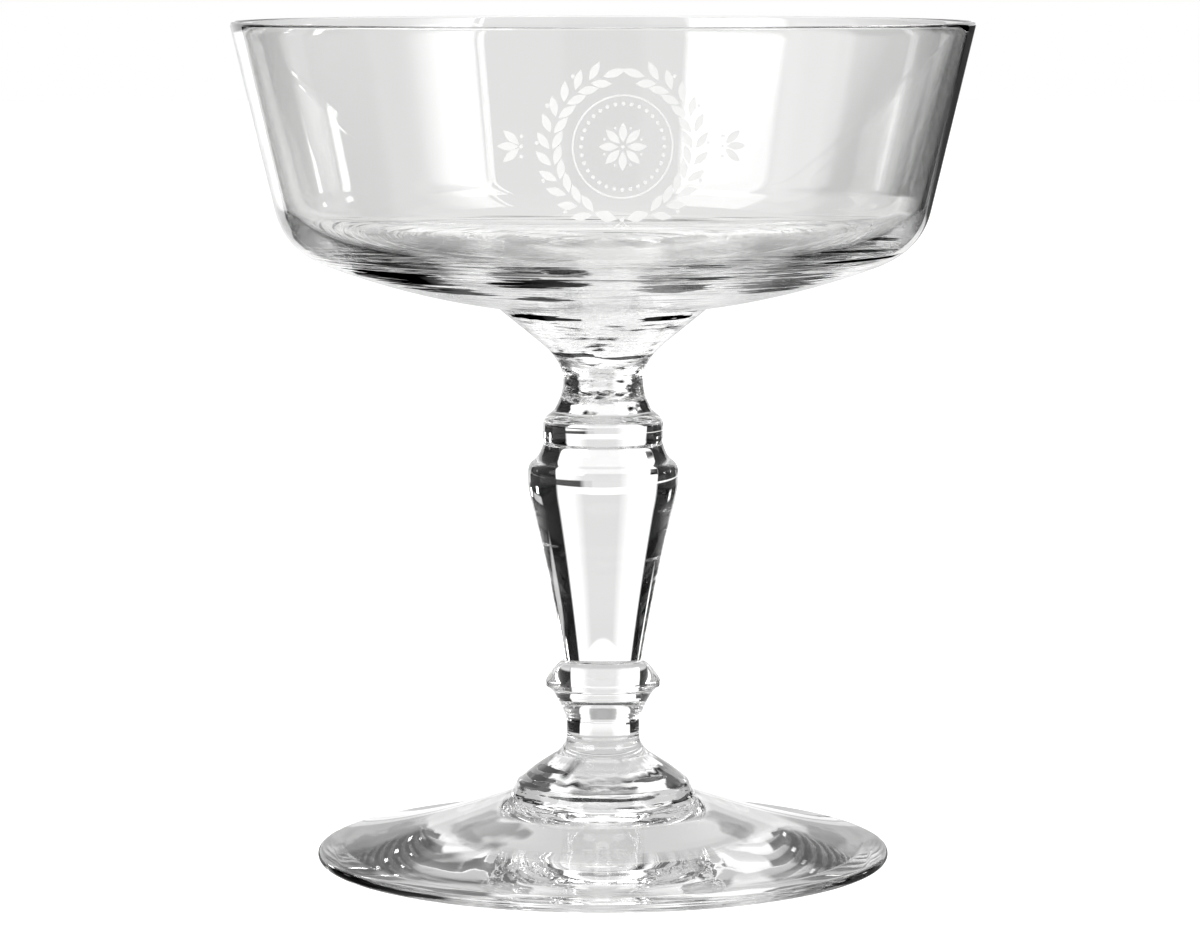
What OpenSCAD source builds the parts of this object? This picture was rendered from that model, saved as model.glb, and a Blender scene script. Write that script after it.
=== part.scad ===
// Coupe glass: a wide, shallow bowl on a short baluster stem and a sloping round foot.
// Each piece is clear glass turned about the Z axis and fused to the piece below it. The table is z = 0.
// A profile is a list of [radius, height] points, with heights measured from the piece's own lower face.
// The frosted ornament lies on the front of the bowl, which faces -Y.

/* [Foot] */
// Radius of the foot at its edge
foot_r = 37.4; // [34:0.2:42]
// Thickness of the foot at its edge
foot_edge_t = 1.4; // [1.1:0.1:2.2]
// Height of the foot from the table to the seat of the boss
foot_h = 8.3; // [7:0.1:11]
// Radius where the steeper inner and the flatter outer part of the foot's top would meet
foot_sag_r = 27; // [20:0.5:30]
// Height of that line above the table
foot_sag_h = 3.2; // [3:0.1:4.6]
// Width of the flat ring under the edge, on which the glass rests
rest_w = 3; // [2:0.2:6]
// Depth of the hollow under the foot, at its flat middle
foot_hollow_h = 5; // [4:0.1:5.8]
// Radius of that flat middle
foot_hollow_mid_r = 11.5; // [9:0.5:13]
// Radius where the steeper inner and the flatter outer part of the hollow would meet
foot_knee_r = 21; // [18:0.5:25]
// Height of that line above the table
foot_knee_h = 1.9; // [1:0.1:2.6]

/* [Boss] */
// Radius of the boss at its seat on the foot
boss_r = 12.1; // [11.4:0.1:14]
// Height of the boss
boss_h = 5.5; // [4.8:0.1:8]
// Radius of the boss at the top of its steep side, where the dome begins
boss_side_r = 11.2; // [9.6:0.1:12]
// Height of that steep side
boss_side_h = 1.8; // [1.2:0.1:2.4]
// Radius where the dome would turn up into the spool
boss_cove_r = 7.3; // [6.6:0.1:8.4]
// Height of that turn above the seat of the boss
boss_cove_h = 4.7; // [4:0.1:5]
// Swell of the dome beyond a straight slope
boss_swell = 0.2; // [0:0.05:0.5]

/* [Lower stem] */
// Radius of the joint between the boss and the spool above it
boss_top_r = 6; // [5.4:0.1:6.4]
// Height of the spool between the boss and the ring knop
spool_h = 5.7; // [4:0.1:9]
// Radius of the spool at its waist
spool_r = 4.8; // [3.8:0.1:5]
// Radius of the joint between the spool and the ring knop
spool_top_r = 5.3; // [5:0.1:6.2]
// Height of the ring knop
ring_h = 6.6; // [5:0.2:9]
// Radius of the ring knop at its edge
ring_r = 7.5; // [6.8:0.1:9.5]
// Thickness of the blunt edge of the ring knop
ring_edge_t = 0.6; // [0.3:0.1:1.2]

/* [Baluster] */
// Height of the baluster, with its shoulder at the top
baluster_h = 28.7; // [24:0.5:36]
// Radius of the joint between the baluster and the ring knop
baluster_foot_r = 5.05; // [4.2:0.05:5.6]
// Radius of the baluster where its side and its shoulder would meet
baluster_r = 10.3; // [9:0.1:12]
// Depth by which the side of the baluster is hollowed at half height
taper_hollow = 0.2; // [0:0.05:0.5]
// Height of the shoulder, from there to the collar
shoulder_h = 3.4; // [2.8:0.1:5]
// Radius of the joint between the baluster and the collar
baluster_top_r = 7.7; // [7:0.1:8]

/* [Collar and neck] */
// Radius of the band of the collar
collar_r = 7.85; // [7.6:0.05:9]
// Height of the band of the collar
collar_band_h = 2.1; // [1.2:0.1:3.4]
// Height of the rounded top of the collar
collar_round_h = 1.9; // [1.2:0.1:2.8]
// Radius of the joint between the collar and the neck
neck_seat_r = 6.4; // [5.8:0.1:7]
// Radius of the neck at its waist
neck_r = 5.2; // [4.4:0.1:5.6]
// Height from the collar to where the neck would turn out into the flare
neck_h = 6.5; // [5:0.1:9]
// Height of the flare, from there to the bowl
flare_h = 7; // [5:0.1:9]

/* [Bowl] */
// Radius of the joint between the flare and the bowl
bowl_seat_r = 13.8; // [11:0.2:17]
// Radius of the bowl at its lip
rim_r = 48; // [45:0.5:54]
// Height of the bowl from its seat to its lip
bowl_h = 36.9; // [30:0.5:46]
// Radius where the wall and the underside of the bowl would meet
heel_r = 41.2; // [38:0.2:44]
// Height of that corner above the seat
heel_h = 7.6; // [6.5:0.1:9]
// How far up the wall the rounded heel reaches from the corner
heel_up_h = 5; // [3:0.2:8]
// Radius at which the shallow middle of the underside would turn up towards the heel
underside_r = 25; // [21:0.2:28]
// Height of that turn above the seat
underside_h = 1.5; // [1.2:0.1:2.4]
// Thickness of the wall at the lip
lip_t = 0.85; // [0.7:0.05:1.4]
// Thickness of the wall just above the heel
heel_wall_t = 1.3; // [0.9:0.05:1.9]
// Thickness of the base of the bowl at its middle
base_t = 5; // [3.5:0.1:5.6]
// Radius of the almost level floor inside the bowl
floor_r = 24; // [18:0.5:28]
// Rise of that floor from its middle to its edge
floor_rise_h = 0.6; // [0.2:0.1:0.9]
// Height of the rounded inside heel above the edge of the floor
floor_round_h = 8; // [6:0.5:10]

/* [Ornament] */
// Thickness of the frosted layer
frost_t = 0.1; // [0.05:0.01:0.2]
// Height of the middle of the ornament above the seat of the bowl
ornament_h = 22.6; // [21:0.1:24]
// Turn of the ornament about the glass, away from the front
ornament_turn = 3; // [-180:1:180]
// Half width of the wreath
wreath_x = 8.6; // [8:0.1:9]
// Half height of the wreath
wreath_y = 8.8; // [8:0.1:9]
// Length of a leaf of the wreath
leaf_l = 2.9; // [2:0.1:3]
// Width of a leaf of the wreath
leaf_w = 1; // [0.7:0.05:1.1]
// Leaf pairs on each branch of the wreath
leaf_pairs = 11; // [6:1:12]
// Half width of the ring of dots inside the wreath
dots_x = 5; // [4.8:0.1:5.2]
// Half height of the ring of dots
dots_y = 5.2; // [4.9:0.1:5.4]
// Half width of the oval line round the dots
oval_x = 6; // [5.8:0.1:6.4]
// Half height of the oval line
oval_y = 6.2; // [6:0.1:6.6]
// Width of that line
line_w = 0.22; // [0.15:0.01:0.3]
// Number of dots in the ring
dot_count = 32; // [20:1:36]
// Radius of a dot and of a berry
dot_r = 0.24; // [0.15:0.01:0.3]
// Length of a petal of the rosette
petal_l = 2.4; // [2:0.1:2.8]
// Petals of the rosette
petal_count = 8; // [5:1:10]
// Reach of the side sprigs from the middle of the ornament
sprig_reach = 15; // [14.6:0.1:16]

/* [Smoothness] */
// Facets of a full turn in the preview
turn_fn = 96; // [48:8:160]
// Steps along each rounded stretch of a profile
bend_steps = 8; // [4:1:14]

/* [Hidden] */

// Heights of the joints above the table
boss_z = foot_h;
spool_z = boss_z + boss_h;
ring_z = spool_z + spool_h;
baluster_z = ring_z + ring_h;
collar_z = baluster_z + baluster_h;
flare_z = collar_z + collar_band_h + collar_round_h;
bowl_z = flare_z + neck_h + flare_h;

// Points of a rounded stretch from a to b that starts and ends towards the corner c, without the point a
function bend(a, c, b) = [for (i = [1 : bend_steps]) let (t = i / bend_steps)
    (1 - t) * (1 - t) * a + 2 * t * (1 - t) * c + t * t * b];
// The point a given share of the way from a to b
function along(a, b, share) = a + share * (b - a);
// Points of an arc about c from one angle to another
function arc(c, r, from, to) = [for (i = [0 : bend_steps]) let (t = from + (to - from) * i / bend_steps)
    c + r * [cos(t), sin(t)]];
// The radius at height z of the straight line through a and b
function radius_at(a, b, z) = a[0] + (b[0] - a[0]) * (z - a[1]) / (b[1] - a[1]);
// The line through a and b, met by the line through c and d
function meet(a, b, c, d) = let (u = b - a, v = d - c, w = c - a)
    a + u * (w[0] * v[1] - w[1] * v[0]) / (u[0] * v[1] - u[1] * v[0]);

module turned(profile, z) {
    translate([0, 0, z]) rotate_extrude($fn = turn_fn) polygon(profile);
}

// Foot: a sloping disc with a cove under the boss, a rounded edge and a hollow below that follows its top
foot_edge_r = foot_edge_t / 2;
foot_edge_c = [foot_r - foot_edge_r, foot_edge_r];
foot_sag = [foot_sag_r, foot_sag_h];
foot_slope = atan2(foot_sag_h - foot_edge_t, foot_edge_c[0] - foot_sag_r);
foot_edge_top = foot_edge_c + foot_edge_r * [sin(foot_slope), cos(foot_slope)];
foot_cove_share = 0.08;
foot_cove_drop_share = 0.055;
foot_cove = [along(boss_r, foot_sag_r, foot_cove_share), foot_h * (1 - foot_cove_drop_share)];
foot_cove_end_share = 0.2;
foot_cove_end = along(foot_cove, foot_sag, foot_cove_end_share);
foot_hollow_edge = [foot_edge_c[0] - rest_w, 0];
foot_hollow_mid = [foot_hollow_mid_r, foot_hollow_h];
foot_knee = [foot_knee_r, foot_knee_h];
hollow_round_share = 0.3;

module foot() {
    middle = [0, foot_hollow_h];
    mid_start = along(foot_hollow_mid, middle, hollow_round_share);
    mid_end = along(foot_hollow_mid, foot_knee, hollow_round_share);
    knee_start = along(foot_knee, foot_hollow_mid, hollow_round_share);
    knee_end = along(foot_knee, foot_hollow_edge, hollow_round_share);
    color([0.9, 0.91, 0.9, 0.45]) turned(concat(
        [middle, mid_start], bend(mid_start, foot_hollow_mid, mid_end),
        [knee_start], bend(knee_start, foot_knee, knee_end), [foot_hollow_edge],
        arc(foot_edge_c, foot_edge_r, -90, 90 - foot_slope),
        bend(foot_edge_top, foot_sag, foot_cove_end),
        bend(foot_cove_end, foot_cove, [boss_r, foot_h]),
        [[0, foot_h]]), 0);
}

// Boss: a low domed button with a steep side
boss_dome_share = 0.45;
boss_blend_share = 0.5;

module boss() {
    side_top = [boss_side_r, boss_side_h];
    cove = [boss_cove_r, boss_cove_h];
    dome = along(side_top, cove, boss_dome_share) + [boss_swell, 0];
    blend = along(dome, cove, boss_blend_share);
    color([0.93, 0.94, 0.93, 0.5]) turned(concat(
        [[0, 0], [boss_r, 0], side_top],
        bend(side_top, dome, blend),
        bend(blend, cove, [boss_top_r, boss_h]),
        [[0, boss_h]]), boss_z);
}

// Spool: the short waisted neck between the boss and the ring knop
spool_waist_low_share = 0.4;
spool_waist_high_share = 0.7;

module spool() {
    waist_low = [spool_r, spool_h * spool_waist_low_share];
    waist_high = [spool_r, spool_h * spool_waist_high_share];
    color([0.88, 0.9, 0.89, 0.5]) turned(concat(
        [[0, 0], [boss_top_r, 0]],
        bend([boss_top_r, 0], [spool_r, spool_h * spool_waist_low_share / 2], waist_low),
        [waist_high],
        bend(waist_high, [spool_r, spool_h * (1 + spool_waist_high_share) / 2], [spool_top_r, spool_h]),
        [[0, spool_h]]), spool_z);
}

// Ring knop: a ring with a blunt edge, hollow-sided below and full above
ring_edge_share = 0.49;
ring_low_share = 0.5;
ring_high_share = 0.5;

module ring_knop() {
    edge_low = [ring_r, ring_h * ring_edge_share];
    edge_high = edge_low + [0, ring_edge_t];
    color([0.93, 0.94, 0.93, 0.5]) turned(concat(
        [[0, 0], [spool_top_r, 0]],
        bend([spool_top_r, 0], [along(spool_top_r, ring_r, ring_low_share), edge_low[1] * (1 - ring_low_share / 3)],
            edge_low),
        [edge_high],
        bend(edge_high, [along(baluster_foot_r, ring_r, ring_high_share), ring_h - ring_edge_t],
            [baluster_foot_r, ring_h]),
        [[0, ring_h]]), ring_z);
}

// Baluster: a straight taper that swells upwards to a rounded shoulder
taper_round_share = 0.09;
shoulder_round_share = 0.44;
shoulder_cove_share = 0.15;

module baluster() {
    low = [baluster_foot_r, 0];
    corner = [baluster_r, baluster_h - shoulder_h];
    top = [baluster_top_r, baluster_h];
    cove = [along(baluster_top_r, baluster_r, shoulder_cove_share), baluster_h - shoulder_h * (1 - shoulder_round_share)];
    side_end = along(corner, low, taper_round_share);
    slope_mid = along(corner, cove, shoulder_round_share);
    // The control point of a bend lies twice as far out as the middle of the bend
    taper_mid = along(low, side_end, 0.5) - [2 * taper_hollow, 0];
    color([0.86, 0.88, 0.87, 0.5]) turned(concat(
        [[0, 0], low],
        bend(low, taper_mid, side_end),
        bend(side_end, corner, slope_mid),
        bend(slope_mid, cove, top),
        [[0, baluster_h]]), baluster_z);
}

// Collar: a plain band with a rounded top
collar_foot_share = 0.3;

module collar() {
    h = collar_band_h + collar_round_h;
    band_low = [collar_r, collar_band_h * collar_foot_share];
    band_high = [collar_r, collar_band_h];
    color([0.93, 0.94, 0.93, 0.5]) turned(concat(
        [[0, 0], [baluster_top_r, 0], band_low, band_high],
        bend(band_high, [collar_r, h - collar_round_h / 2], [neck_seat_r, h]),
        [[0, h]]), flare_z - h);
}

// Stem flare: the neck above the collar, which opens into a trumpet under the bowl
neck_cove_share = 0.3;
neck_waist_share = 0.6;
flare_bend_share = 0.36;

module stem_flare() {
    corner = [neck_r, neck_h];
    seat = [bowl_seat_r, neck_h + flare_h];
    waist = [neck_r, neck_h * neck_waist_share];
    bend_end = along(corner, seat, flare_bend_share);
    color([0.88, 0.9, 0.89, 0.5]) turned(concat(
        [[0, 0], [neck_seat_r, 0]],
        bend([neck_seat_r, 0], [neck_r, neck_h * neck_cove_share], waist),
        bend(waist, corner, bend_end),
        [seat, [0, seat[1]]]), flare_z);
}

// Bowl: a thick shallow base, a rounded heel and a straight flared wall with a fire-polished lip
lip_r = lip_t / 2;
lip_c = [rim_r - lip_r, bowl_h - lip_r];
seat_edge = [bowl_seat_r, 0];
underside = [underside_r, underside_h];
heel = [heel_r, heel_h];
wall_lean = atan2(lip_c[0] + lip_r - heel_r, lip_c[1] - heel_h);
wall_top = lip_c + lip_r * [cos(wall_lean), -sin(wall_lean)];
heel_top = along(heel, wall_top, heel_up_h / (wall_top[1] - heel_h));
underside_turn_share = 0.67;
underside_turn = along(underside, heel, underside_turn_share);
floor_edge = [floor_r, base_t + floor_rise_h];
inner_wall_top = lip_c - lip_r * [cos(wall_lean), -sin(wall_lean)];
inner_heel_top_h = floor_edge[1] + floor_round_h;
inner_heel_top = [radius_at(heel, wall_top, inner_heel_top_h) - heel_wall_t, inner_heel_top_h];
inner_corner = meet([0, base_t + floor_rise_h / 2], floor_edge, inner_wall_top, inner_heel_top);

module bowl() {
    color([0.9, 0.92, 0.92, 0.35]) turned(concat(
        [[0, 0], seat_edge],
        bend(seat_edge, underside, underside_turn),
        bend(underside_turn, heel, heel_top),
        arc(lip_c, lip_r, -wall_lean, 180 - wall_lean),
        [inner_heel_top],
        bend(inner_heel_top, inner_corner, floor_edge),
        [[0, base_t]]), bowl_z);
}

// Frosted ornament: a laurel wreath round a ring of dots and a rosette, with two side sprigs and a bow.
// It is drawn flat in [x, y], stood up in front of the glass and cut to the layer on the wall.
leaf_side_steps = 5;
oval_steps = 48;
leaf_turn = 32;
branch_start = -68;
branch_end = 73;
// Share of a leaf's length that stays clear at its foot, so that each leaf is a mark of its own
leaf_gap_share = 0.12;
sprig_turn = 42;
bow_loop_share = 0.95;

module leaf(length, width) {
    polygon(concat(
        [for (i = [0 : leaf_side_steps]) let (t = i / leaf_side_steps) [length * t, width / 2 * sin(180 * t)]],
        [for (i = [1 : leaf_side_steps - 1]) let (t = 1 - i / leaf_side_steps)
            [length * t, -width / 2 * sin(180 * t)]]));
}

module dot(r) { circle(r = r, $fn = 10); }

module oval_line(rx, ry) {
    ring = [for (w = [-line_w / 2, line_w / 2]) for (i = [0 : oval_steps - 1]) let (a = 360 * i / oval_steps)
        [(rx + w) * cos(a), (ry + w) * sin(a)]];
    polygon(ring, [[for (i = [0 : oval_steps - 1]) oval_steps + i], [for (i = [0 : oval_steps - 1]) i]]);
}

module wreath_branch() {
    step = (branch_end - branch_start) / leaf_pairs;
    for (i = [0 : leaf_pairs - 1]) {
        a = branch_start + step * i;
        tangent = atan2(wreath_y * cos(a), -wreath_x * sin(a));
        for (side = [-1, 1])
            translate([wreath_x * cos(a), wreath_y * sin(a)]) rotate(tangent + side * leaf_turn)
                translate([leaf_l * leaf_gap_share, 0]) leaf(leaf_l * (1 - leaf_gap_share), leaf_w);
        b = a + step / 2;
        if (i % 2 == 1)
            translate([(wreath_x + leaf_l / 2 + dot_r) * cos(b), (wreath_y + leaf_l / 2 + dot_r) * sin(b)]) dot(dot_r);
    }
    translate([wreath_x * cos(branch_end), wreath_y * sin(branch_end)])
        rotate(atan2(wreath_y * cos(branch_end), -wreath_x * sin(branch_end))) leaf(leaf_l, leaf_w);
}

module side_sprig() {
    start = sprig_reach - leaf_l;
    for (turn = [-1 : 1])
        translate([start, 0]) rotate(turn * sprig_turn) translate([leaf_l * leaf_gap_share, 0])
            leaf(leaf_l * (1 - leaf_gap_share), leaf_w);
    for (side = [-1, 1])
        translate([start, side * (leaf_w + dot_r)]) dot(dot_r);
    translate([start, 0]) dot(dot_r);
}

module rosette() {
    for (i = [0 : petal_count - 1]) rotate(360 * i / petal_count) {
        translate([dot_r + petal_l * leaf_gap_share, 0]) leaf(petal_l, leaf_w);
        rotate(180 / petal_count) translate([petal_l, 0]) dot(dot_r * 2 / 3);
    }
    dot(dot_r);
}

module bow() {
    for (side = [0, 1]) mirror([side, 0]) {
        translate([dot_r + leaf_l * leaf_gap_share, 0]) rotate(leaf_turn / 2) leaf(leaf_l * bow_loop_share, leaf_w * 4 / 3);
        translate([dot_r, -dot_r * 2]) rotate(-leaf_turn * 3 / 2) leaf(leaf_l * bow_loop_share, leaf_w * 2 / 3);
    }
    dot(dot_r * 4 / 3);
}

module ornament_drawing() {
    for (side = [0, 1]) mirror([side, 0]) {
        wreath_branch();
        side_sprig();
    }
    for (i = [0 : dot_count - 1]) let (a = 360 * i / dot_count)
        translate([dots_x * cos(a), dots_y * sin(a)]) dot(dot_r);
    oval_line(oval_x, oval_y);
    rosette();
    translate([0, -wreath_y]) bow();
}

module frosted_ornament() {
    layer = [wall_top, heel_top, heel_top + [frost_t, 0], wall_top + [frost_t, 0]];
    color([1, 1, 1, 0.9]) rotate(ornament_turn) intersection() {
        turned(layer, bowl_z);
        translate([0, 0, bowl_z + ornament_h]) rotate([90, 0, 0]) linear_extrude(height = rim_r * 2) ornament_drawing();
    }
}

bowl();
stem_flare();
collar();
baluster();
ring_knop();
spool();
boss();
foot();
frosted_ornament();
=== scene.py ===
import math

import bpy
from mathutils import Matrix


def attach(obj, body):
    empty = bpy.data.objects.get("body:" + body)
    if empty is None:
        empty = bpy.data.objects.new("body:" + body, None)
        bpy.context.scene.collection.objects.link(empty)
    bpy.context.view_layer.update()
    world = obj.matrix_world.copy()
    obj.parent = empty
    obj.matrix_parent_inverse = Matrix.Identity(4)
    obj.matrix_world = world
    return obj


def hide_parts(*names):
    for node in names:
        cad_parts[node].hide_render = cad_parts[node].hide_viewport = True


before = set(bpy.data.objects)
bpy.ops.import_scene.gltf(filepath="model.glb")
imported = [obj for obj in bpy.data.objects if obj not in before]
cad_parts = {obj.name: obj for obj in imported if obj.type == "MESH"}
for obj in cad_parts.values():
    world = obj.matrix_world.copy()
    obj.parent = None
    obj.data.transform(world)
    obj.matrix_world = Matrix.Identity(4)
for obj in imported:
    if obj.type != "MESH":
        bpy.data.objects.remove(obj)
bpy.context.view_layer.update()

# Bowl: clear soda-lime glass blown in a mould, thick and shallow at its base and drawn out to a thin,
# straight wall with a fire-polished lip. It is fused to the flare of the stem below it. The turning of
# the hot gather left fine rings and tool marks in its underside, and the glass is darkened with painted
# shade along these rings and marks.
mm = 0.001
bowl_z = 72.3
lip_edge = (47.95, 36.88)
lip_t = 0.85
heel = (41.2, 7.6)
heel_up = 5
seat_r = 13.8
underside = (25, 1.5)
underside_straight = 0.67
base_t = 5
floor_dish = 0.3
floor_edge = (24, 5.6)
inner_heel_up = 8
heel_wall_t = 1.3
round_steps = 224
sharp_edge = 40


def part_way(a, b, share):
    return (a[0] + (b[0] - a[0]) * share, a[1] + (b[1] - a[1]) * share)


def bend(a, corner, b, steps=14):
    """A rounded stretch from a to b, which leaves a and reaches b along the lines to the corner."""
    made = []
    for i in range(1, steps + 1):
        share = i / steps
        made.append(part_way(part_way(a, corner, share), part_way(corner, b, share), share))
    return made


def straight(a, b, steps):
    return [part_way(a, b, (i + 1) / steps) for i in range(steps)]


def arc(centre, radius, start, end, steps):
    made = []
    for i in range(steps + 1):
        angle = math.radians(start + (end - start) * i / steps)
        made.append((centre[0] + radius * math.cos(angle), centre[1] + radius * math.sin(angle)))
    return made


def crossing(a, b, c, d):
    """Where the line through a and b meets the line through c and d."""
    u, v, w = (b[0] - a[0], b[1] - a[1]), (d[0] - c[0], d[1] - c[1]), (c[0] - a[0], c[1] - a[1])
    share = (w[0] * v[1] - w[1] * v[0]) / (u[0] * v[1] - u[1] * v[0])
    return part_way(a, b, share)


def turn_glass(name, profile, lift):
    """Spins a profile of (radius, height) points about the axis of the glass and shades it smooth."""
    bpy.ops.object.select_all(action="DESELECT")
    start = (profile[0][0] * mm, 0, (profile[0][1] + lift) * mm)
    bpy.ops.mesh.primitive_plane_add(size=mm, location=start)
    piece = bpy.context.object
    piece.name = piece.data.name = name
    bpy.ops.object.transform_apply(location=True, rotation=False, scale=False)
    bpy.ops.object.mode_set(mode="EDIT")
    bpy.ops.mesh.merge(type="CENTER")
    for a, b in zip(profile, profile[1:]):
        step = ((b[0] - a[0]) * mm, 0, (b[1] - a[1]) * mm)
        bpy.ops.mesh.extrude_region_move(TRANSFORM_OT_translate={"value": step})
    bpy.ops.mesh.select_all(action="SELECT")
    bpy.ops.mesh.spin(steps=round_steps, angle=2 * math.pi, center=(0, 0, 0), axis=(0, 0, 1))
    bpy.ops.mesh.select_all(action="SELECT")
    bpy.ops.mesh.remove_doubles(threshold=0.002 * mm)
    bpy.ops.mesh.normals_make_consistent(inside=False)
    bpy.ops.object.mode_set(mode="OBJECT")
    bpy.ops.object.shade_smooth_by_angle(angle=math.radians(sharp_edge))
    return piece


class Wire:
    """One number in a shader. Sums and products of wires add the nodes that work them out."""

    def __init__(self, recipe, socket):
        self.recipe, self.socket = recipe, socket

    def math(self, operation, *others):
        links = {i: value for i, value in enumerate((self, *others))}
        return self.recipe.node("ShaderNodeMath", {"operation": operation}, links)

    def __add__(self, other):
        return self.math("ADD", other)

    __radd__ = __add__

    def __mul__(self, other):
        return self.math("MULTIPLY", other)

    __rmul__ = __mul__

    def __sub__(self, other):
        return self.math("SUBTRACT", other)

    def __rsub__(self, other):
        return (self * -1) + other

    def __truediv__(self, other):
        return self.math("DIVIDE", other)

    def kept(self):
        """The number held between 0 and 1."""
        return self.math("MINIMUM", 1).math("MAXIMUM", 0)


class Recipe:
    """The shader of one material or of the studio's light."""

    def __init__(self, owner):
        owner.use_nodes = True
        self.tree = owner.node_tree
        self.tree.nodes.clear()

    def node(self, kind, settings=None, links=None, out=0):
        made = self.tree.nodes.new(kind)
        for key, value in (settings or {}).items():
            setattr(made, key, value)
        for key, value in (links or {}).items():
            if isinstance(value, Wire):
                self.tree.links.new(value.socket, made.inputs[key])
            else:
                made.inputs[key].default_value = value
        return Wire(self, made.outputs[out]) if made.outputs else None


object_place = 3
clear_tint = (0.985, 0.987, 0.982, 1)
black = (0, 0, 0, 1)
shadow_tint = (0.93, 0.93, 0.925, 1)
glass_bend = 1.5
ring_lean = 1.7
ring_reach = 2.5
wave_scale = 110
ring_bias = 0.57
streak_fray = 4
skin_start, skin_level, skin_slope, skin_crisp = 27.1, 76.15, 0.3, 2
skin_curl_start, skin_curl = 35, 0.045
wall_start, wall_level, wall_slope, wall_crisp = 40.8, 79.9, 0.2336, 5
rings_top, rings_fade = 80.96, 1.5


def glass_material(name, ripple_pitch, ripple_depth, wave_depth=0.04, marks_and_painted_shade=(), painted_shades=(),
                   ring_painted_shade=8, lift=1, crisp=6):
    """Clear polished glass with fine rings round the axis and slow waves in its surface, in millimetres.

    Each streak is a mark that lies along the rings and darkens the glass with painted shade: its angle from
    the front towards +X, its height above the table, half its width in degrees, half its height and its
    depth of painted shade from 0 to 1. A painted shade entry is the same without relief and fades out from
    its middle. The setting after these entries is how dark the rings are painted between the marks, also
    painted shade, lift how far a mark stands out of the surface, and crisp how sharp its edges are."""
    material = bpy.data.materials.new(name)
    recipe = Recipe(material)
    place = recipe.node("ShaderNodeTexCoord", out=object_place)
    flat = recipe.node("ShaderNodeVectorMath", {"operation": "MULTIPLY"}, {0: place, 1: (1, 1, 0)})
    radius = recipe.node("ShaderNodeVectorMath", {"operation": "LENGTH"}, {0: flat}, out="Value")
    height = recipe.node("ShaderNodeSeparateXYZ", links={0: place}, out=2)
    ring_line = (radius + height * ring_lean) * (1 / mm / ripple_pitch)
    around = recipe.node("ShaderNodeVectorMath", {"operation": "NORMALIZE"}, {0: flat})
    stretched = recipe.node("ShaderNodeVectorMath", {"operation": "MULTIPLY"},
                            {0: around, 1: (ring_reach, ring_reach, ring_reach)})
    turn_x = recipe.node("ShaderNodeSeparateXYZ", links={0: stretched}, out=0)
    turn_y = recipe.node("ShaderNodeSeparateXYZ", links={0: stretched}, out=1)
    drawn = recipe.node("ShaderNodeCombineXYZ", links={0: turn_x, 1: turn_y, 2: ring_line})
    grain = recipe.node("ShaderNodeTexNoise", {"noise_dimensions": "3D"},
                        {"Vector": drawn, "Scale": 1.0, "Detail": 2.0, "Roughness": 0.5})

    # The inside of the bowl carries no rings or marks. The skin of its underside, and all glass below it,
    # lies under a line that curls up at the heel, and the skin of its wall lies outside the wall's lean.
    reach, level = radius * (1 / mm), height * (1 / mm)
    curl = (reach - skin_curl_start).math("MAXIMUM", 0)
    skin = ((reach - skin_start) * skin_slope + skin_level).math("MAXIMUM", skin_level)
    skin = skin + curl * curl * skin_curl
    under_skin = ((skin - level) * skin_crisp).kept()
    wall_skin = ((reach - wall_start - (level - wall_level) * wall_slope) * wall_crisp).kept()
    ringed = under_skin * ((rings_top - level) * (1 / rings_fade)).kept()
    waves = recipe.node("ShaderNodeTexNoise", {"noise_dimensions": "3D"},
                        {"Vector": place, "Scale": wave_scale, "Detail": 1.0})
    relief = (grain - 0.5) * ringed * (ripple_depth * mm) + waves * (wave_depth * mm)

    tint = clear_tint
    if marks_and_painted_shade:
        east = recipe.node("ShaderNodeSeparateXYZ", links={0: place}, out=0)
        north = recipe.node("ShaderNodeSeparateXYZ", links={0: place}, out=1)
        bearing = east.math("ARCTAN2", north * -1) * (180 / math.pi)
        # Painted shade: the glass is darkened along its rings, under each mark and under each painted shade
        # entry.
        dark = (grain - ring_bias) * ring_painted_shade * ringed
        for angle, at, wide, high, tone in marks_and_painted_shade:
            along, up = (bearing - angle) / wide, (level - at) / high
            body = ((1 - along * along - up * up + (grain - 0.5) * streak_fray) * crisp).kept()
            dark = dark.math("MAXIMUM", body * tone)
            relief = relief - (level - at) * body * (lift * mm)
        for angle, at, wide, high, tone in painted_shades:
            along, up = (bearing - angle) / wide, (level - at) / high
            dark = dark.math("MAXIMUM", (1 - along * along - up * up) * tone)
        # Glass lets the root of its colour through, so the share of light that is left is squared.
        light = 1 - dark.kept() * under_skin.math("MAXIMUM", wall_skin)
        tint = recipe.node("ShaderNodeMix", {"data_type": "RGBA"},
                           {0: 1 - light * light, 6: clear_tint, 7: black}, out=2)
    normal = recipe.node("ShaderNodeBump", links={"Height": relief, "Distance": 1.0, "Strength": 1.0})
    glass = recipe.node("ShaderNodeBsdfPrincipled", links={
        "Base Color": tint, "Roughness": 0.0, "IOR": glass_bend,
        "Transmission Weight": 1.0, "Normal": normal})
    lit = recipe.node("ShaderNodeBsdfTransparent", links={"Color": shadow_tint})
    shadow = recipe.node("ShaderNodeLightPath", out="Is Shadow Ray")
    mixed = recipe.node("ShaderNodeMixShader", links={0: shadow, 1: glass, 2: lit})
    recipe.node("ShaderNodeOutputMaterial", links={"Surface": mixed})
    return material


fused = bpy.data.materials.new("fused_joint")
recipe = Recipe(fused)
see_through = recipe.node("ShaderNodeBsdfTransparent")
recipe.node("ShaderNodeOutputMaterial", links={"Surface": see_through})
joint_slack = 0.02


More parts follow.
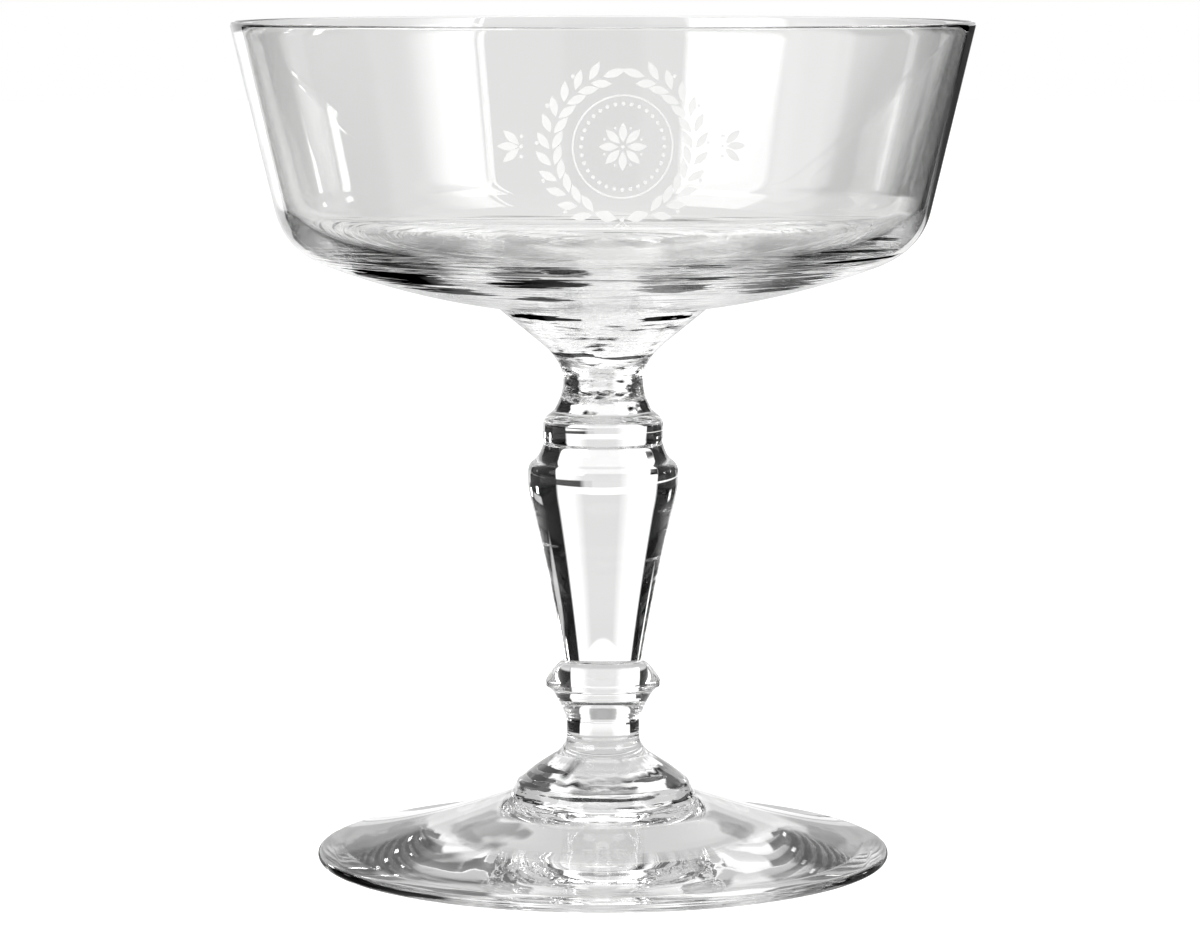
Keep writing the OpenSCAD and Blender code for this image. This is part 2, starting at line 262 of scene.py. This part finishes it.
def finish_glass(piece, node, material, joints):
    """Gives a turned piece its glass, clears the flat faces that are fused to its neighbours and fixes it."""
    piece.data.materials.append(material)
    piece.data.materials.append(fused)
    for face in piece.data.polygons:
        heights = [piece.data.vertices[v].co.z for v in face.vertices]
        for joint_z, joint_r in joints:
            flat = all(abs(z - joint_z * mm) < joint_slack * mm for z in heights)
            if flat and face.center.xy.length < joint_r * mm:
                face.material_index = 1
    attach(piece, "root")
    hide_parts(node)


lip_r = lip_t / 2
lip_c = (lip_edge[0] - lip_r, lip_edge[1] - lip_r)
lean = math.atan2(lip_edge[0] - heel[0], lip_c[1] - heel[1])
wall_top = (lip_c[0] + lip_r * math.cos(lean), lip_c[1] - lip_r * math.sin(lean))
inner_top = (lip_c[0] - lip_r * math.cos(lean), lip_c[1] + lip_r * math.sin(lean))
heel_top = part_way(heel, wall_top, heel_up / (wall_top[1] - heel[1]))
underside_turn = part_way(underside, heel, underside_straight)
inner_heel_z = floor_edge[1] + inner_heel_up
wall_share = (inner_heel_z - heel[1]) / (wall_top[1] - heel[1])
inner_heel_top = (part_way(heel, wall_top, wall_share)[0] - heel_wall_t, inner_heel_z)
inner_corner = crossing((0, base_t + floor_dish), floor_edge, inner_top, inner_heel_top)
bowl_profile = (
    [(0, 0)] + straight((0, 0), (seat_r, 0), 3)
    + bend((seat_r, 0), underside, underside_turn, 40)
    + bend(underside_turn, heel, heel_top, 40)
    + straight(heel_top, wall_top, 24)
    + arc(lip_c, lip_r, -math.degrees(lean), 180 - math.degrees(lean), 12)
    + straight(inner_top, inner_heel_top, 24)
    + bend(inner_heel_top, inner_corner, floor_edge, 40)
    + straight(floor_edge, (0, base_t), 30))
bowl = turn_glass("bowl_glass", bowl_profile, bowl_z)
# Marks in the underside of the bowl: each lies along the rings, stands out of the surface and darkens the
# glass with painted shade.
bowl_marks_and_painted_shade = [
    (-13, 77.6, 10, 0.75, 1), (-7, 79.5, 5, 0.4, 0.9), (-15, 75.15, 8, 0.45, 1), (15, 77, 8, 0.8, 0.75),
    (21, 78.5, 8, 0.3, 0.9), (-47, 77.6, 15, 1.5, 1), (-38, 76, 12, 0.6, 1), (43, 77.2, 14, 1.4, 0.7),
    (125, 77, 18, 1.4, 0.8), (-130, 77, 16, 1.2, 0.8), (175, 76, 14, 0.7, 0.9), (95, 77.6, 8, 0.6, 0.8),
    (-90, 76, 9, 0.7, 0.8), (60, 79.8, 18, 0.25, 1)]
# Painted shade: a dark tint on the right side of the bowl's wall, which darkens that edge of the glass.
wall_painted_shades = [(84, 92, 22, 28, 0.55)]
bowl_clear = glass_material("bowl_glass", 0.9, 0.13, 0.01, bowl_marks_and_painted_shade, wall_painted_shades)
finish_glass(bowl, "bowl", bowl_clear, [(bowl_z, seat_r)])

# Flare of the stem: solid clear glass, a short neck that opens into a trumpet under the bowl. It is the
# top of the stem, worked hot onto the collar, and the bowl is fused to its wide end. Its surface carries
# the same drawn rings as the bowl's underside.
flare_z = 58.8
neck_seat_r = 6.4
neck_r = 5.2
neck_h = 6.5
neck_foot_h = neck_h * 0.3
neck_waist_h = neck_h * 0.6
flare_h = 7
trumpet_start = 0.36
neck_corner = (neck_r, neck_h)
flare_seat = (seat_r, neck_h + flare_h)
neck_waist = (neck_r, neck_waist_h)
flare_bend = part_way(neck_corner, flare_seat, trumpet_start)
flare_profile = (
    [(0, 0)] + straight((0, 0), (neck_seat_r, 0), 3)
    + bend((neck_seat_r, 0), (neck_r, neck_foot_h), neck_waist, 16)
    + bend(neck_waist, neck_corner, flare_bend, 20)
    + straight(flare_bend, flare_seat, 16)
    + straight(flare_seat, (0, flare_seat[1]), 3))
flare = turn_glass("stem_flare_glass", flare_profile, flare_z)
# Marks on the flare: each lies along the rings, stands out of the surface and darkens the glass with painted
# shade, and its rings are darkened with painted shade too.
flare_marks_and_painted_shade = [
    (-42, 71.6, 26, 0.4, 1), (40, 71.6, 24, 0.4, 1), (-45, 66.4, 45, 0.3, 0.9), (40, 66.1, 40, 0.25, 0.9),
    (150, 71, 40, 0.4, 0.9), (-140, 68, 30, 0.3, 0.8)]
flare_clear = glass_material("flare_glass", 1.2, 0.15, 0.01, flare_marks_and_painted_shade)
finish_glass(flare, "stem_flare", flare_clear, [(bowl_z, seat_r), (flare_z, neck_seat_r)])

# Collar: a merese, a flat button of solid clear glass pressed between the flare and the baluster. Its band
# is nearly straight, and its top is rounded in to the neck. It is fused to both.
collar_r = 7.85
collar_band_h = 2.1
collar_draft_h = collar_band_h * 0.3
collar_round_h = 1.9
collar_h = collar_band_h + collar_round_h
shoulder_top_r = 7.7
collar_z = flare_z - collar_h
collar_corner = (collar_r, collar_h - collar_round_h / 2)
collar_profile = (
    [(0, 0)] + straight((0, 0), (shoulder_top_r, 0), 3)
    + straight((shoulder_top_r, 0), (collar_r, collar_draft_h), 4)
    + straight((collar_r, collar_draft_h), (collar_r, collar_band_h), 4)
    + bend((collar_r, collar_band_h), collar_corner, (neck_seat_r, collar_h), 14)
    + straight((neck_seat_r, collar_h), (0, collar_h), 3))
collar = turn_glass("collar_glass", collar_profile, collar_z)
stem_clear = glass_material("stem_glass", 3, 0, 0.004)
finish_glass(collar, "collar", stem_clear, [(flare_z, neck_seat_r), (collar_z, shoulder_top_r)])

# Baluster: the solid middle of the stem, clear glass pressed in a mould. It tapers up from the ring and
# swells to a rounded shoulder under the collar, and is fused to both. A few shallow nicks cross its sides.
baluster_h = 28.7
baluster_z = collar_z - baluster_h
baluster_foot_r = 5.05
baluster_r = 10.3
shoulder_h = 3.4
shoulder_cove_in = 0.15
shoulder_cove_h = 0.44
taper_round = 0.16
taper_hollow = 0.4
low = (baluster_foot_r, 0)
corner = (baluster_r, baluster_h - shoulder_h)
top = (shoulder_top_r, baluster_h)
cove = (shoulder_top_r + (baluster_r - shoulder_top_r) * shoulder_cove_in,
        baluster_h - shoulder_h * (1 - shoulder_cove_h))
side_end = part_way(corner, low, taper_round)
slope_mid = part_way(corner, cove, 0.5)
taper_mid = part_way(low, side_end, 0.5)
baluster_profile = (
    [(0, 0)] + straight((0, 0), low, 3)
    + bend(low, (taper_mid[0] - taper_hollow, taper_mid[1]), side_end, 40)
    + bend(side_end, corner, slope_mid, 16)
    + bend(slope_mid, cove, top, 16)
    + straight(top, (0, baluster_h), 3))
baluster = turn_glass("baluster_glass", baluster_profile, baluster_z)
nicks = [(-62, 41.6, 16, 0.15, 0), (66, 46.2, 14, 0.2, 0), (60, 39.8, 14, 0.2, 0)]
baluster_clear = glass_material("baluster_glass", 3, 0, 0.004, nicks, ring_painted_shade=0)
finish_glass(baluster, "baluster", baluster_clear,
             [(collar_z, shoulder_top_r), (baluster_z, baluster_foot_r)])

# Ring knop: a ring of solid clear glass with a blunt edge, pressed with the stem. It is fused to the
# baluster above it and to the spool below it.
ring_h = 6.6
ring_z = baluster_z - ring_h
ring_r = 7.5
ring_edge_t = 0.6
ring_edge_up = 0.49
ring_hollow = 0.5 / 3
spool_top_r = 5.3
edge_low = (ring_r, ring_h * ring_edge_up)
edge_high = (ring_r, edge_low[1] + ring_edge_t)
under_corner = ((spool_top_r + ring_r) / 2, edge_low[1] * (1 - ring_hollow))
upper_corner = ((baluster_foot_r + ring_r) / 2, ring_h - ring_edge_t)
ring_profile = (
    [(0, 0)] + straight((0, 0), (spool_top_r, 0), 3)
    + bend((spool_top_r, 0), under_corner, edge_low, 16)
    + straight(edge_low, edge_high, 4)
    + bend(edge_high, upper_corner, (baluster_foot_r, ring_h), 16)
    + straight((baluster_foot_r, ring_h), (0, ring_h), 3))
ring = turn_glass("ring_knop_glass", ring_profile, ring_z)
finish_glass(ring, "ring_knop", stem_clear,
             [(baluster_z, baluster_foot_r), (ring_z, spool_top_r)])

# Spool: the short waisted neck of the stem between the ring and the boss, of the same solid clear glass.
# It is drawn in by the jacks while hot, so it widens gently to both ends, where it is fused.
spool_h = 5.7
spool_z = ring_z - spool_h
spool_r = 4.8
boss_top_r = 6
waist_low = (spool_r, spool_h * 0.4)
waist_high = (spool_r, spool_h * 0.7)
spool_foot = (spool_r, spool_h * 0.2)
spool_head = (spool_r, spool_h * 0.85)
spool_profile = (
    [(0, 0)] + straight((0, 0), (boss_top_r, 0), 3)
    + bend((boss_top_r, 0), spool_foot, waist_low, 14)
    + straight(waist_low, waist_high, 4)
    + bend(waist_high, spool_head, (spool_top_r, spool_h), 14)
    + straight((spool_top_r, spool_h), (0, spool_h), 3))
spool = turn_glass("spool_glass", spool_profile, spool_z)
finish_glass(spool, "spool", stem_clear, [(ring_z, spool_top_r), (spool_z, boss_top_r)])

# Boss: a low domed button of solid clear glass with a steep side, which carries the stem on the foot. It
# was dropped hot onto the foot and turned, which left rings and lines in its side, and these are darkened
# with painted shade.
boss_h = 5.5
boss_z = spool_z - boss_h
boss_r = 12.1
boss_side = (11.2, 1.8)
boss_cove = (7.3, 4.7)
boss_dome_up = 0.45
boss_dome_out = 0.2
dome_chord = part_way(boss_side, boss_cove, boss_dome_up)
boss_dome = (dome_chord[0] + boss_dome_out, dome_chord[1])
boss_blend = part_way(boss_dome, boss_cove, 0.5)
boss_profile = (
    [(0, 0)] + straight((0, 0), (boss_r, 0), 3)
    + straight((boss_r, 0), boss_side, 6)
    + bend(boss_side, boss_dome, boss_blend, 16)
    + bend(boss_blend, boss_cove, (boss_top_r, boss_h), 16)
    + straight((boss_top_r, boss_h), (0, boss_h), 3))
boss = turn_glass("boss_glass", boss_profile, boss_z)
# Marks on the boss: each lies along the rings, stands out of the surface and darkens the glass with painted
# shade.
boss_marks_and_painted_shade = [
    (-62, 12.2, 22, 0.3, 1), (-62, 11.2, 22, 0.3, 1), (-58, 10.2, 20, 0.3, 1), (-10, 9.4, 40, 0.25, 0.9),
    (40, 11.4, 20, 0.25, 0.9), (15, 10.7, 14, 0.4, 0.7)]
boss_clear = glass_material("boss_glass", 1.2, 0.12, 0.01, boss_marks_and_painted_shade)
finish_glass(boss, "boss", boss_clear, [(spool_z, boss_top_r), (boss_z, boss_r)])

# Foot: a solid sloping disc of clear glass with a rounded edge, spread from a hot gather and fused to the
# boss. Its underside is a shallow hollow, so that it stands on a narrow ring near its edge.
table_z = 0
foot_top_z = 8.3
foot_r = 37.35
foot_edge_t = 1.4
foot_sag = (27, 3.2)
foot_cove_out = 0.08
foot_cove_down = 0.055
rest_w = 3
hollow_mid = (11.5, 5)
hollow_knee = (21, 1.9)
hollow_soft = 0.3
edge_r = foot_edge_t / 2
edge_c = (foot_r - edge_r, edge_r)
slope = math.atan2(foot_sag[1] - foot_edge_t, edge_c[0] - foot_sag[0])
edge_top = (edge_c[0] + edge_r * math.sin(slope), edge_c[1] + edge_r * math.cos(slope))
foot_cove = (boss_r + (foot_sag[0] - boss_r) * foot_cove_out, foot_top_z * (1 - foot_cove_down))
cove_end = part_way(foot_cove, foot_sag, 0.2)
hollow_edge = (edge_c[0] - rest_w, 0)
mid_start = part_way(hollow_mid, (0, hollow_mid[1]), hollow_soft)
mid_end = part_way(hollow_mid, hollow_knee, hollow_soft)
knee_start = part_way(hollow_knee, hollow_mid, hollow_soft)
knee_end = part_way(hollow_knee, hollow_edge, hollow_soft)
foot_profile = (
    [(0, hollow_mid[1])] + straight((0, hollow_mid[1]), mid_start, 4)
    + bend(mid_start, hollow_mid, mid_end, 20)
    + straight(mid_end, knee_start, 4)
    + bend(knee_start, hollow_knee, knee_end, 20)
    + straight(knee_end, hollow_edge, 20)
    + arc(edge_c, edge_r, -90, 90 - math.degrees(slope), 14)
    + bend(edge_top, foot_sag, cove_end, 60)
    + bend(cove_end, foot_cove, (boss_r, foot_top_z), 20)
    + straight((boss_r, foot_top_z), (0, foot_top_z), 3))
foot = turn_glass("foot_glass", foot_profile, table_z)
# Painted shade: dark patches in the foot's glass towards its left and right, with no relief.
foot_painted_shade = [
    (-68, 3, 28, 1.7, 0.75), (74, 2.9, 20, 1.3, 0.7), (-54, 0.7, 24, 0.45, 1), (62, 0.7, 14, 0.4, 0.9)]
foot_clear = glass_material("foot_glass", 3, 0.01, 0.002, foot_painted_shade, ring_painted_shade=0, lift=0, crisp=2.5)
finish_glass(foot, "foot", foot_clear, [(boss_z, boss_r)])

# Frosted ornament: a matt white wreath, flower and sprigs on the front of the bowl, etched or fired onto
# the outside of its wall. The CAD node lies on the wall already, so it only gets its frosted surface,
# which lets a little light through.
frost = bpy.data.materials.new("frosting")
recipe = Recipe(frost)
matt = recipe.node("ShaderNodeBsdfPrincipled",
                   links={"Base Color": (0.95, 0.95, 0.94, 1), "Roughness": 0.6, "Alpha": 0.85})
recipe.node("ShaderNodeOutputMaterial", links={"Surface": matt})
for slot in bpy.data.objects["frosted_ornament"].material_slots:
    slot.material = frost

# Studio table: a round pale table under the glass. The camera sees it as pale paint with an even glow added.
# The glass sees only a glow that changes over it, bright behind and dark at the sides, which draws the dark
# lines along the edges of the glass, with a painted shadow under the foot that is darkest under its flanks.
# Distances are in millimetres, and azimuths in degrees from straight behind to +X.
table_r = 3000
table_drop = 0.02
under_foot_shadow_tone, foot_shadow_dark = 0.62, 0.56
behind_tone, centre_dark = 1.25, 0.42
front_tone, hall_tone, ring_tone, aside_tone = 0.5, 0.2, 0.8, 0.6
paint_tint, wash_tone = (0.6, 0.6, 0.59, 1), 0.5
white = (1, 1, 1, 1)
degrees = 180 / math.pi


def ramp(value, start, end):
    """0 up to start, rising to 1 at end."""
    return ((value - start) / (end - start)).kept()


def band(value, start, end, soft=2.0):
    """1 between start and end, with soft edges."""
    edge = soft / 2
    return ramp(value, start - edge, start + edge) * (1 - ramp(value, end - edge, end + edge))


def right_dim(azimuth):
    """How much the far end of the room darkens towards the right, from 0 to 1."""
    return ramp(azimuth, 5, 6) * 0.15 + ramp(azimuth, 9, 12) * 0.8


bpy.ops.object.select_all(action="DESELECT")
bpy.ops.mesh.primitive_circle_add(vertices=128, radius=table_r * mm, fill_type="NGON",
                                  location=(0, 0, -table_drop * mm))
table = bpy.context.object
table.name = "table"
table_paint = bpy.data.materials.new("table_paint")
recipe = Recipe(table_paint)
place = recipe.node("ShaderNodeTexCoord", out=object_place)
east = recipe.node("ShaderNodeSeparateXYZ", links={0: place}, out=0)
north = recipe.node("ShaderNodeSeparateXYZ", links={0: place}, out=1)
reach = recipe.node("ShaderNodeVectorMath", {"operation": "LENGTH"}, {0: place}, out="Value") * (1 / mm)
azimuth = east.math("ARCTAN2", north) * degrees
side = azimuth.math("ABSOLUTE")
# Painted shadow: the glow is dimmer under the foot and dimmer still under its flanks.
near = 1 - ramp(reach, 50, 60)
foot_flank_shadow = band(side, 58, 132, 10) * ramp(reach, 21, 27)
centre = band(azimuth, -12, 14, 8)
behind = band(azimuth, -34, 27, 1)
calm = band(azimuth, -34, -27, 1) * band(reach, 140, 340, 20)
right_far = right_dim(azimuth) * ramp(reach, 560, 700)
left_far = band(azimuth, -80, -34, 1) * ramp(reach, 1300, 1500)
hall = band(reach, 100, 250, 20) * band(azimuth, -30, 24, 6)
ring_back = band(reach, 42, 68, 8) * band(side, 27, 80, 6)
aside = band(side, 68, 108, 4) * ramp(reach, 250, 350)
front = band(side, 106, 190, 4)
back = (behind * (1 - right_far) * (1 - calm) + left_far) * (behind_tone - centre * centre_dark)
away = back + front * front_tone + hall * hall_tone + ring_back * ring_tone + aside * aside_tone
tone = near * (under_foot_shadow_tone - foot_shadow_dark * foot_flank_shadow) + (1 - near) * away
camera_ray = recipe.node("ShaderNodeLightPath", out="Is Camera Ray")
paint = recipe.node("ShaderNodeBsdfDiffuse", links={"Color": paint_tint})
wash = recipe.node("ShaderNodeEmission", links={"Color": white, "Strength": wash_tone})
both = recipe.node("ShaderNodeAddShader", links={0: paint, 1: wash})
glow = recipe.node("ShaderNodeEmission", links={"Color": white, "Strength": tone})
seen = recipe.node("ShaderNodeMixShader", links={0: camera_ray, 1: glow, 2: both})
recipe.node("ShaderNodeOutputMaterial", links={"Surface": seen})
table.data.materials.append(table_paint)

# Studio room: a pale wall behind the glass, dark sides, and windows and lamps that only show in the glass.
# The camera sees plain white. Azimuths are in degrees from straight behind to +X, and heights in degrees
# above the horizon.
wall_tone, middle_dark, over_head_dark, sky_tone, right_window_tone = 1.2, 0.4, 0.5, 0.8, 6
world = bpy.data.worlds.new("studio")
bpy.context.scene.world = world
recipe = Recipe(world)
way = recipe.node("ShaderNodeTexCoord", out=0)
east = recipe.node("ShaderNodeSeparateXYZ", links={0: way}, out=0)
north = recipe.node("ShaderNodeSeparateXYZ", links={0: way}, out=1)
up = recipe.node("ShaderNodeSeparateXYZ", links={0: way}, out=2)
azimuth = east.math("ARCTAN2", north) * degrees
side = azimuth.math("ABSOLUTE")
rise = up.math("ARCSINE") * degrees
low = 1 - ramp(rise, -1.5, -0.5)
middle = band(azimuth, -12, 14, 8) * (1 - band(rise, -0.95, 2, 0.15))
over_head = band(azimuth, -14, 14, 3) * band(rise, 14.5, 25, 2)
wall = band(azimuth, -34, 27, 2) + band(azimuth, -80, -34, 2) * low
wall = wall * (1 - right_dim(azimuth) * low) * (wall_tone - middle * middle_dark)
wall = wall * (1 - over_head * over_head_dark)
curtain_edge = band(azimuth, 106, 134, 1) * ramp(azimuth, 108, 128)
curtain_gap = band(azimuth, 136, 137.5, 0.5)
right_window = (curtain_edge + curtain_gap) * band(rise, 17, 48, 2)
light = wall + band(rise, 50, 100, 4) * sky_tone + right_window * right_window_tone

# Each light panel: its brightness, then where it starts and ends round the room and how soft those edges
# are, then the same for its height.
panels = [
    (0.7, 46, 62, 2, 7.5, 11.5, 1),      # card low on the right
    (0.15, -106, -34, 3, 14, 50, 4),     # upper wall on the left
    (0.15, 14, 106, 3, 14, 50, 4),       # upper wall on the right
    (6, -150, -114, 3, 20, 48, 2),       # window on the left
    (1.2, -114, -85, 3, 12, 48, 2),      # dim window on the far left
    (1.8, -58, -53, 1, 6, 11, 2),        # strip on the left wall
    (10, 67, 71.5, 1, 6, 11.2, 0.2),     # upper lamp on the right
    (10, 49.5, 52.5, 1, 3, 6.7, 0.2)]    # lower lamp on the right
for bright, start, end, soft, bottom, top, soft_up in panels:
    light = light + band(azimuth, start, end, soft) * band(rise, bottom, top, soft_up) * bright

# What stands alike on both sides is placed by the azimuth without its sign. The last takes light away,
# so that the middle of the glass mirrors a dark camera.
pairs = [
    (0.5, 106, 190, 4, -95, 50, 4),      # front of the room
    (0.6, 68, 108, 4, -5, 4, 2),         # floor line at the sides
    (-0.4, 166, 190, 4, -5, 40, 4)]      # dark round the camera
for bright, start, end, soft, bottom, top, soft_up in pairs:
    light = light + band(side, start, end, soft) * band(rise, bottom, top, soft_up) * bright
camera_ray = recipe.node("ShaderNodeLightPath", out="Is Camera Ray")
strength = light * (1 - camera_ray) + camera_ray
shine = recipe.node("ShaderNodeBackground", links={"Color": white, "Strength": strength})
recipe.node("ShaderNodeOutputWorld", links={"Surface": shine})

# Studio lamps: a soft square lamp above the glass and one in front of it, both hidden from the glass. They
# light the frosting and the table only.
lamp_w = 0.6
top_watts, front_watts = 4, 7
top_lamp = bpy.data.objects.new("top_light", bpy.data.lights.new("top_light", "AREA"))
front_lamp = bpy.data.objects.new("front_light", bpy.data.lights.new("front_light", "AREA"))
top_lamp.location = (0, 0, 0.8)
front_lamp.location = (0, -1.2, 0.6)
front_lamp.rotation_euler = (math.radians(67), 0, 0)
for lamp, watts in ((top_lamp, top_watts), (front_lamp, front_watts)):
    lamp.data.size = lamp_w
    lamp.data.energy = watts
    lamp.visible_glossy = lamp.visible_transmission = False
    bpy.context.collection.objects.link(lamp)

# Camera: the one that the photograph was fitted to, 0.6 m in front and looking down a little. The glass
# needs many bounces to stay clear.
focal_px = 4636
frame_px = 1200
sensor_w = 36
look_down = 6.362
camera = bpy.data.objects.new("camera", bpy.data.cameras.new("camera"))
bpy.context.collection.objects.link(camera)
camera.data.sensor_width = sensor_w
camera.data.lens = focal_px / frame_px * sensor_w
camera.data.clip_start = 0.01
camera.location = (-0.39 * mm, -0.6, 0.1187)
camera.rotation_euler = (math.radians(90 - look_down), 0, 0)
scene = bpy.context.scene
scene.camera = camera
scene.view_settings.view_transform = "Standard"
scene.cycles.transmission_bounces = 32
scene.cycles.max_bounces = 40
scene.cycles.glossy_bounces = 32
scene.cycles.transparent_max_bounces = 48
